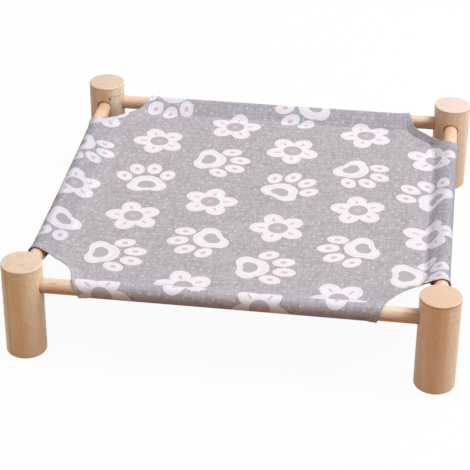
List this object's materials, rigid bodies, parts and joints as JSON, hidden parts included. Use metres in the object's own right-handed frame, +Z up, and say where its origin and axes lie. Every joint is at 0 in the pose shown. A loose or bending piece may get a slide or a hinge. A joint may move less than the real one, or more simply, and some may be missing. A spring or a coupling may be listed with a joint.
{
  "type": "elevated cat bed",
  "caption": "Low square cat bed: round wooden posts joined by dowels that carry a stretched, sleeved cloth cover with cut-away corners.",
  "frame": {"origin": "on the floor, midway between the four posts", "axes": "+X to the bed's right, +Y to its back, +Z up out of the floor"},
  "size_m": [0.44, 0.44, 0.1],
  "materials": {
    "post_wood": "sanded bare pine, satin",
    "dowel_wood": "sanded bare pine, satin",
    "cover_cloth": "printed cotton canvas, matt",
    "thread": "sewing thread, matt"
  },
  "bodies": {
    "root": {"post_front_left": "post_wood", "post_front_right": "post_wood", "post_back_left": "post_wood", "post_back_right": "post_wood", "dowel_front": "dowel_wood", "dowel_back": "dowel_wood", "dowel_left": "dowel_wood", "dowel_right": "dowel_wood", "cover": "cover_cloth", "seam_thread_front": "thread", "seam_thread_back": "thread", "seam_thread_left": "thread", "seam_thread_right": "thread", "hem_thread_front_left": "thread", "hem_thread_front_right": "thread", "hem_thread_back_left": "thread", "hem_thread_back_right": "thread"}
  },
  "joints": []
}
